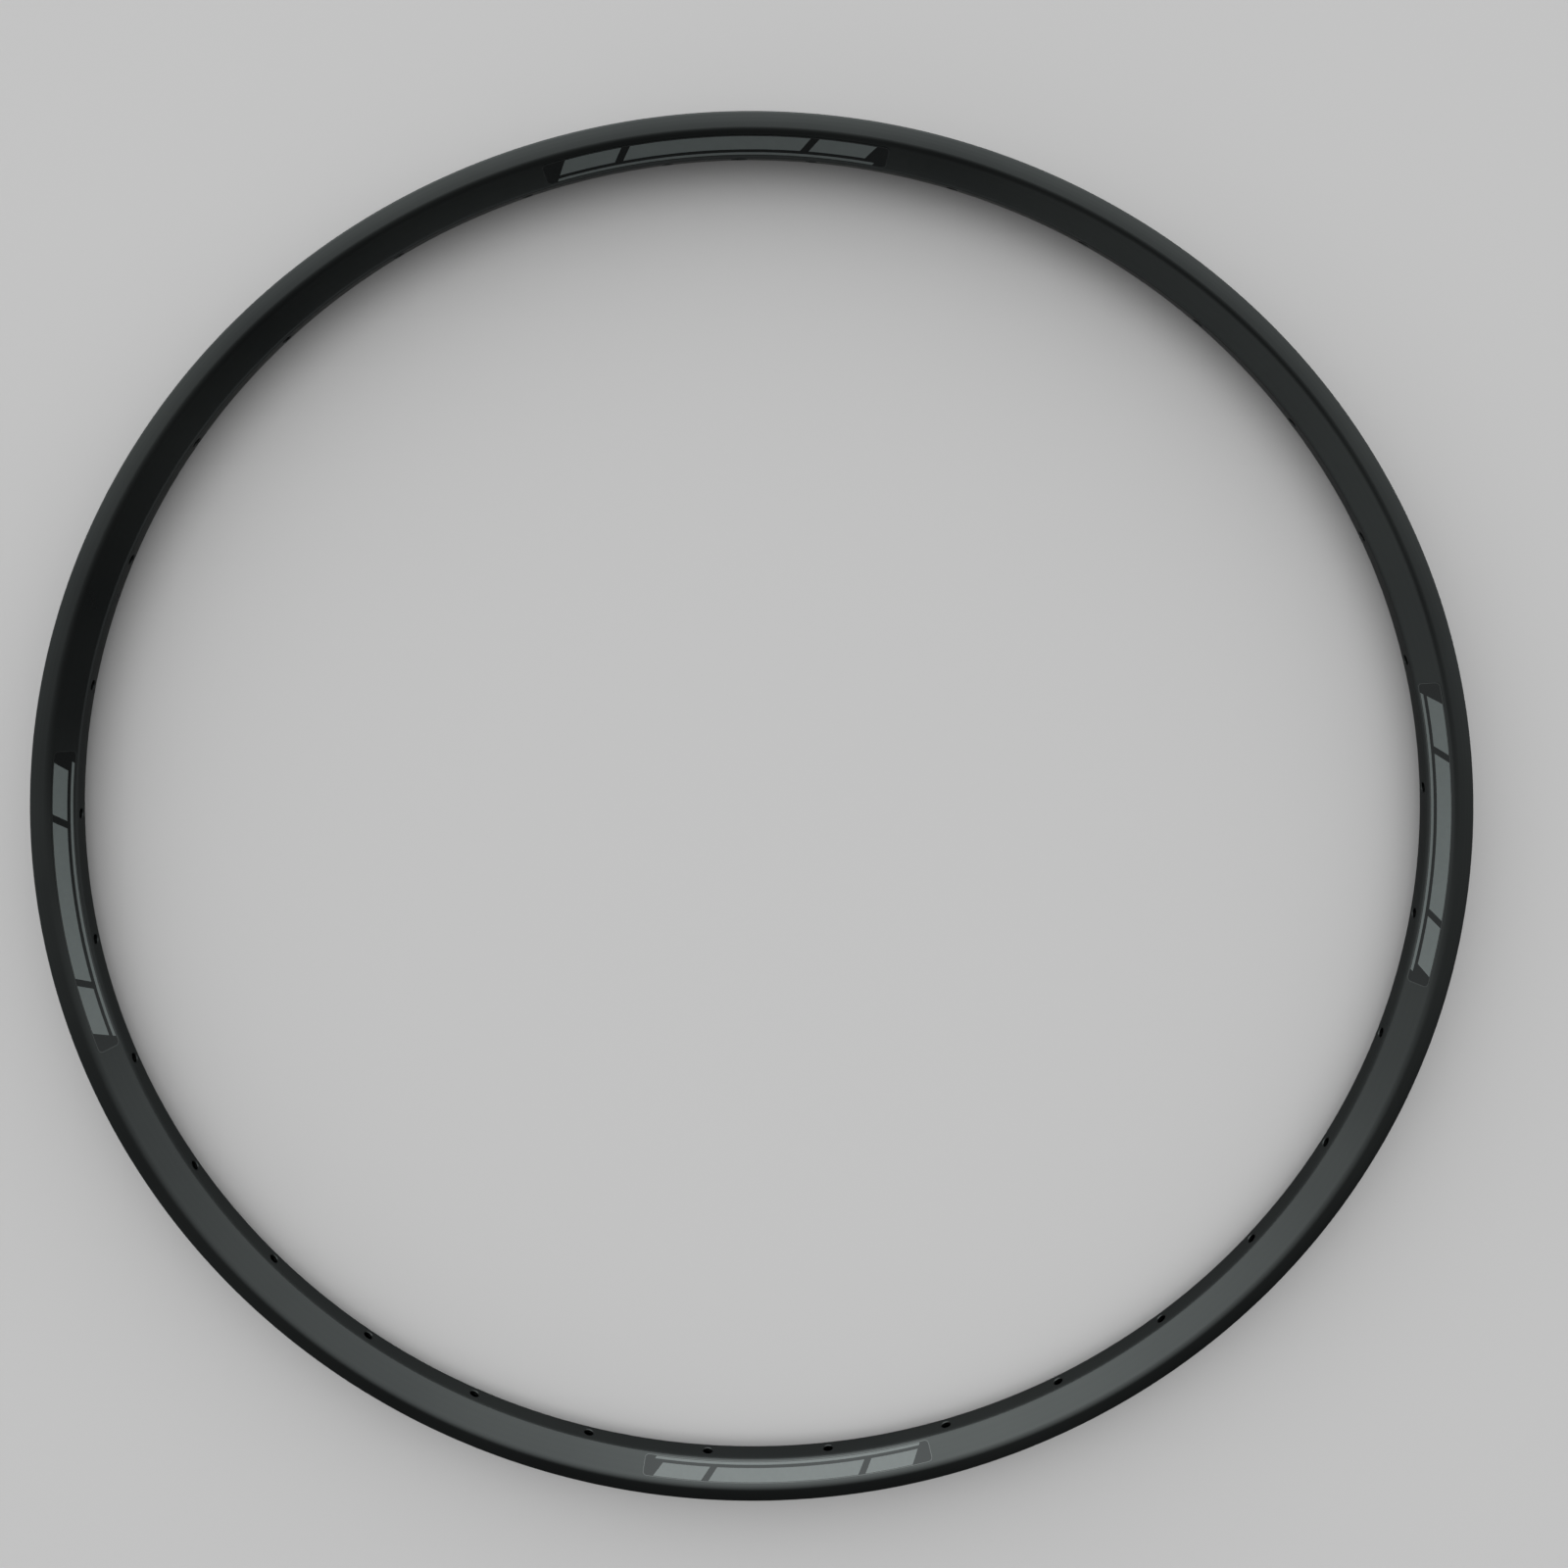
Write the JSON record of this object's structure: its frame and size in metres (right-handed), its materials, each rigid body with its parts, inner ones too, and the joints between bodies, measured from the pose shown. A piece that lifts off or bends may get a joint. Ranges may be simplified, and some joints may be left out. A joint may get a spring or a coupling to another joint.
{
  "type": "bicycle rim",
  "caption": "Double-walled dark aluminium bicycle wheel rim with hooked flanges, drop-centre tyre well, sloping side walls, spoke and valve holes and grey decals on one side.",
  "frame": {"origin": "centre of the wheel, on its axis, in the rim's middle plane", "axes": "+Z along the wheel's axis, out of the side with the decals; the valve hole is near +Y; the rim lies flat on its -Z side"},
  "size_m": [0.634, 0.634, 0.03],
  "materials": {
    "anodised_aluminium": "satin",
    "decal_film": "satin"
  },
  "bodies": {
    "root": {"rim": "anodised_aluminium", "decal_top": "decal_film", "decal_left": "decal_film", "decal_bottom": "decal_film", "decal_right": "decal_film"}
  },
  "joints": []
}
